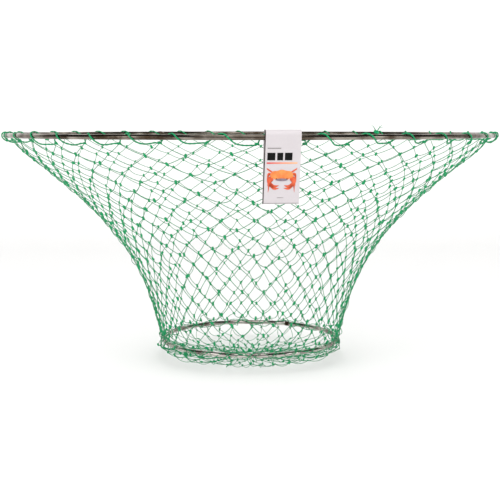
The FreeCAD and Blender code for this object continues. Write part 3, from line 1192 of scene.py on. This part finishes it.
# %% Fold the card
card_low, card_high = (Vector(corner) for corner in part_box("hang_tag"))
hinge = Vector(tag_hinge["pos_m"])
TAG_DROP = hinge.z - card_low.z
CARD = 0.0005
SHOULDER = 0.0028
LEAF_OUT = card_high.z - hinge.z - SHOULDER - CARD / 2
LEAF_FOOT = 0.0004 + CARD / 2
TAG_LEAN = 0.028
LEAF_ROWS = 24
tag_across = Vector((math.cos(TAG_TURN), math.sin(TAG_TURN), 0))
tag_out = Vector((math.sin(TAG_TURN), -math.cos(TAG_TURN), 0))


def tag_point(across, out, up):
    """A point of the tag from the hinge: across to the right, out to the front, and up."""
    return hinge + tag_across * (across + TAG_LEAN * up) + tag_out * out + Vector((0, 0, up))


def leaf_out(up):
    """How far out the front leaf's middle line is at a height."""
    share = (SHOULDER - up) / (SHOULDER + TAG_DROP)
    return LEAF_OUT + (LEAF_FOOT - LEAF_OUT) * share


heights = np.linspace(-TAG_DROP + CARD / 2, SHOULDER, LEAF_ROWS)
fold = np.linspace(0, math.pi, 17)[1:-1]
side_line = [(-leaf_out(up), up) for up in heights]
side_line += [(-LEAF_OUT * math.cos(a), SHOULDER + LEAF_OUT * math.sin(a)) for a in fold]
side_line += [(leaf_out(up), up) for up in heights[::-1]]
side_line = np.array(side_line)
ahead = np.roll(side_line, -1, axis=0) - np.roll(side_line, 1, axis=0)
normal = np.stack([-ahead[:, 1], ahead[:, 0]], axis=1)
normal /= np.linalg.norm(normal, axis=1)[:, None]

CARD_COLUMNS = 9
ROW_STEP = 0.0042
INSIDE_UV = 0.1
across_places = np.linspace(-TAG_WIDTH / 2, TAG_WIDTH / 2, CARD_COLUMNS)
rim = list(across_places) + list(across_places[::-1])
skin = [normal * CARD / 2] * CARD_COLUMNS + [-normal * CARD / 2] * CARD_COLUMNS
card_points = np.array([
    [tag_point(across, *(side_line[row] + skin[column][row])) for column, across in enumerate(rim)]
    for row in range(len(side_line))
])
card_mesh = grid_mesh(
    "folded_card", card_points,
    lambda r, c: (rim[c % len(rim)] + INSIDE_UV * (c >= CARD_COLUMNS), r * ROW_STEP),
    close_rows=True, close_columns=True,
)
card = finished("folded_card", card_mesh, card_finish.material, smooth=False)
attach(card, "tag")
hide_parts("hang_tag")
print(f"card: {1000 * TAG_WIDTH:.0f} mm wide, {1000 * TAG_DROP:.0f} mm below the hoop")

# %% [markdown]
# ## The print
# The print says what the tag is for without words: bars where words would be, a rule that fades from red
# to orange, and a crab drawn from a few plain shapes. Each shape is a thin plate of ink on the front
# leaf. The crab is symmetrical, so its legs and claws are drawn once and mirrored.

# %% Ink plates
INK = 0.00006
INK_GAP = 0.00005
RULE_LENGTH = 0.0385


def ink_plate(outline, layer):
    """Corners and faces of a thin plate with the given outline of (across, up), on the front leaf."""
    centre = np.mean(outline, axis=0)
    count = len(outline)
    corners = []
    for level in (layer, layer + 1):
        lift = CARD / 2 + INK_GAP + INK * level
        for across, up in [*outline, centre]:
            corners.append(tuple(tag_point(across, leaf_out(up) + lift, up)))
    area = sum(a[0] * b[1] - b[0] * a[1] for a, b in zip(outline, [*outline[1:], outline[0]]))
    order = 1 if area > 0 else -1
    faces = []
    for number in range(count):
        after = (number + 1) % count
        faces.append([number, count, after][::order])
        faces.append([count + 1 + number, count + 1 + after, 2 * count + 1][::order])
        faces.append([number, after, count + 1 + after, count + 1 + number][::order])
    return corners, faces


def printed(name, outlines, finish, layer=1):
    """Plates of one ink, in one layer. Their UV map runs from 0 to 1 along the rule."""
    corners, faces = [], []
    for outline in outlines:
        first = len(corners)
        more_corners, more_faces = ink_plate(outline, layer)
        corners += more_corners
        faces += [[first + index for index in face] for face in more_faces]
    mesh = bpy.data.meshes.new(name)
    mesh.from_pydata(corners, [], faces)
    places = np.array(corners)[[loop.vertex_index for loop in mesh.loops]] - np.array(hinge)
    along = places @ np.array(tag_across) / RULE_LENGTH + 0.5
    face_uv = np.stack([along, places[:, 2]], axis=1).astype(np.float32)
    mesh.uv_layers.new(name="UVMap").data.foreach_set("uv", face_uv.reshape(-1))
    piece = finished(name, mesh, finish.material, smooth=False)
    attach(piece, "tag")


def bar(left, right, foot, top):
    return [(left, foot), (right, foot), (right, top), (left, top)]


def oval(across, up, half_width, half_height, count=28):
    turn = np.linspace(0, 2 * math.pi, count, endpoint=False)
    return list(zip(across + half_width * np.cos(turn), up + half_height * np.sin(turn)))


def taper(points, widths):
    """An outline that follows a bent line with a width at each of its points."""
    line = smooth_rows([(*point, width) for point, width in zip(points, widths)], 5)
    middle, width = line[:, :2], line[:, 2:]
    way = np.gradient(middle, axis=0)
    way /= np.linalg.norm(way, axis=1)[:, None]
    edge = np.stack([-way[:, 1], way[:, 0]], axis=1) * width / 2
    return [tuple(p) for p in np.vstack([middle - edge, (middle + edge)[::-1]])]


def mirrored(outlines):
    return outlines + [[(-across, up) for across, up in outline] for outline in outlines]


print("print helpers ready")

# %% Bars, blocks and the rule
MM = 0.001
printed("print_title_thin", [bar(-19 * MM, -2 * MM, -14.2 * MM, -12.8 * MM)], grey_ink)
title_blocks = ((-19, -9), (-6.6, 0.8), (3, 12.4))
printed("print_title_bold", [bar(x * MM, y * MM, -28.4 * MM, -19 * MM) for x, y in title_blocks], black_ink)
printed("print_rule", [bar(-19.5 * MM, 19 * MM, -32.6 * MM, -31.0 * MM)], rule_finish)
# The grey bar along the card's foot is not print: it is painted shade for the shadowed gap where the two
# leaves meet.
edge = TAG_WIDTH / 2 - 0.0002
printed("print_foot_edge", [bar(-edge + 1.4 * MM, edge, -TAG_DROP + 0.0006, -TAG_DROP + 0.0014)], grey_ink)
printed("print_foot_line", [bar(-5 * MM, 3 * MM, -75.4 * MM, -74.6 * MM)], grey_ink)

print("bars, blocks and rule printed")

# %% The crab
CRAB_UP = -0.0470
legs = []
for number in range(4):
    root = (10.5 * MM, CRAB_UP + (2.6 - 2.4 * number) * MM)
    knee = ((17.6 - 0.7 * number) * MM, CRAB_UP + (7.4 - 5.4 * number) * MM)
    raised = 7 * MM if number == 0 else 0
    toe = ((19.2 - 0.9 * number) * MM, CRAB_UP + (1.6 - 7.6 * number) * MM + raised)
    legs.append(taper([root, knee, toe], [2.3 * MM, 1.7 * MM, 0.4 * MM]))
printed("print_crab_legs", mirrored(legs), limb_ink, 1)


def claw_part(*places):
    """A tapered shape through places of (across, below the crab's middle, width), in millimetres."""
    points = [(across * MM, CRAB_UP - below * MM) for across, below, _ in places]
    return taper(points, [width * MM for _, _, width in places])


arm = claw_part((11, 3, 3.2), (16, 6, 4.6), (14.5, 12, 4.0))
upper_jaw = claw_part((15, 10.5, 5.0), (10, 14.0, 4.2), (3.4, 12.8, 0.6))
lower_jaw = claw_part((14, 12, 3.6), (9, 16.8, 2.6), (3.0, 16.2, 0.5))
printed("print_crab_claws", mirrored([arm, upper_jaw, lower_jaw]), limb_ink, 2)
turn = np.linspace(0, 2 * math.pi, 44, endpoint=False)
shell_x = 14.6 * MM * np.cos(turn) * (1 + 0.05 * np.sin(turn))
shell_y = CRAB_UP + 6.6 * MM * np.sin(turn) + 0.5 * MM * np.cos(8 * turn)
printed("print_crab_shell", [list(zip(shell_x, shell_y))], shell_ink, 3)
printed("print_crab_mouth", [oval(0, CRAB_UP - 5.6 * MM, 7.6 * MM, 1.7 * MM)], mouth_ink, 4)
eyes = [oval(6.6 * MM, CRAB_UP - 4.4 * MM, 0.7 * MM, 0.7 * MM, 16)]
printed("print_crab_eyes", mirrored(eyes), black_ink, 4)
print("print finished")

# %% [markdown]
# ## Floor and light
# A pale floor curves up behind the net into a pale wall, so there is no edge behind it. The room is
# bright all round and a little dimmer overhead, with three large soft lights in front. Round steel needs
# something dark to mirror, or it looks like chalk, so mirrored rays see a dark room. The camera's own
# rays see plain white and no brighter, because thin twine would be lost in a glare.

# %% Floor and wall
FLOOR_GAP = 0.004
FLOOR_SIDE = 7.0
FLOOR_NEAR = -6.0
FLOOR_FAR = 1.6
BEND_R = 0.9
WALL_TOP = 4.0
stage_z = cad_box[0][2] - FLOOR_GAP
profile = [(FLOOR_NEAR, 0.0), (FLOOR_FAR, 0.0)]
for a in np.linspace(0.1, math.pi / 2, 12):
    profile.append((FLOOR_FAR + BEND_R * math.sin(a), BEND_R - BEND_R * math.cos(a)))
profile.append((FLOOR_FAR + BEND_R, WALL_TOP))
stage_points = np.array([[(x, y, stage_z + z) for x in (-FLOOR_SIDE, FLOOR_SIDE)] for y, z in profile])
backdrop_finish = Finish("white backdrop")
cloud = backdrop_finish.noise(0.8, 1.0)
backdrop_finish.surface(
    Base_Color=backdrop_finish.blend(cloud, (0.79, 0.79, 0.79, 1), (0.81, 0.81, 0.81, 1)), Roughness=0.9
)
backdrop = finished(
    "backdrop", grid_mesh("backdrop", stage_points[:, ::-1], lambda r, c: (c, r)), backdrop_finish.material
)
backdrop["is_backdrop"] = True
print("floor at", round(stage_z, 4))

# %% The room
WALL_LIGHT = 1.7
CEILING_LIGHT = 0.95
CEILING_FROM = 0.34
CEILING_TO = 0.60
MIRRORED_LIGHT = 0.05
SEEN_LIGHT = 1.0
ROOM_COLOUR = (1.0, 0.995, 0.985, 1.0)
world = bpy.data.worlds.new("soft room")
scene.world = world
world.use_nodes = True
room = world.node_tree
direction = add_node(room, "ShaderNodeTexCoord").outputs["Generated"]
rise = add_node(room, "ShaderNodeSeparateXYZ", values={0: direction}).outputs["Z"]
ceiling = add_node(
    room, "ShaderNodeMapRange", {"interpolation_type": "SMOOTHSTEP"},
    {
        "Value": rise, "From Min": CEILING_FROM, "From Max": CEILING_TO,
        "To Min": WALL_LIGHT, "To Max": CEILING_LIGHT,
    },
)
ray = add_node(room, "ShaderNodeLightPath").outputs
room_light = ceiling
for ray_kind, light_level in (("Is Glossy Ray", MIRRORED_LIGHT), ("Is Camera Ray", SEEN_LIGHT)):
    room_light = add_node(
        room, "ShaderNodeMix", {"data_type": "FLOAT"},
        {"Factor": ray[ray_kind], "A": room_light.outputs["Result"], "B": light_level},
    )
room.links.new(room_light.outputs["Result"], room.nodes["Background"].inputs["Strength"])
room.nodes["Background"].inputs["Color"].default_value = ROOM_COLOUR
print("room light", WALL_LIGHT, "at the walls and", CEILING_LIGHT, "overhead")

# %% The lights
LIGHT_TARGET = Vector((0, 0, -0.1))


def soft_light(name, place, size, power):
    """A large square light that faces the net."""
    data = bpy.data.lights.new(name, "AREA")
    data.size = size
    data.energy = power
    light = bpy.data.objects.new(name, data)
    scene.collection.objects.link(light)
    light.location = place
    light.rotation_euler = (LIGHT_TARGET - Vector(place)).to_track_quat("-Z", "Y").to_euler()


soft_light("light above", (0, -1.7, 2.5), 2.0, 34)
soft_light("light left", (-2.4, -2.0, 0.9), 1.3, 15)
soft_light("light right", (2.6, -1.6, 0.7), 1.0, 8)
print("three soft lights placed")

# %% [markdown]
# ## The size
# The dressed model has to keep the imported model's size, so both boxes are written down side by side.

# %% Sizes
dressed_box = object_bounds()
for label, box in (("packed", cad_box), ("dressed", dressed_box)):
    print(label, [[round(1000 * x, 1) for x in corner] for corner in box])
